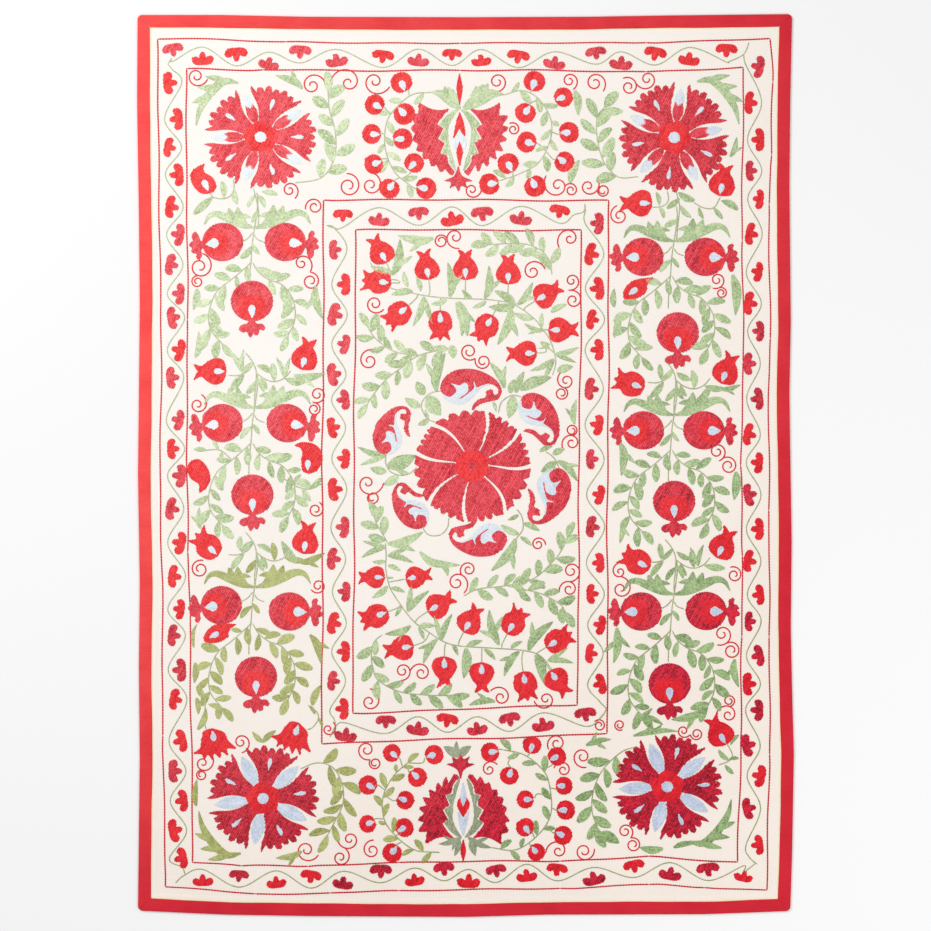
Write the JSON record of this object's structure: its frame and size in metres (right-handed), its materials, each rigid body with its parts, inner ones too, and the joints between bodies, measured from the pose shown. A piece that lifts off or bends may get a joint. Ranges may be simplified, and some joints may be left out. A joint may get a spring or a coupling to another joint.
{
  "type": "suzani embroidered hanging",
  "caption": "Large flat cream cotton hanging worked with rosettes, pomegranates, paisleys and flowering vines in couched thread, bound in plain red cotton with mitred corners.",
  "frame": {"origin": "middle of the hanging's outline, on the surface that it lies on", "axes": "+Y towards the top edge, +X towards the right edge seen from the front, +Z out of the embroidered face"},
  "size_m": [1.458, 2.0039, 0.0036],
  "materials": {
    "ground_cotton": "plain-woven undyed cotton, matt, with faint folds",
    "binding_cotton": "plain-woven red cotton strip, pressed and folded over the edge",
    "crimson_thread": "loosely twisted silk-like thread, couched in slanting rows",
    "scarlet_thread": "bright red thread, couched in slanting rows",
    "sky_thread": "pale blue thread, couched",
    "leaf_thread": "leaf green thread, couched and chain stitched",
    "line_thread": "crimson thread in chain stitch"
  },
  "bodies": {
    "root": {"ground_cloth": "ground_cotton", "binding_top": "binding_cotton", "binding_right": "binding_cotton", "binding_bottom": "binding_cotton", "binding_left": "binding_cotton"}
  },
  "joints": []
}
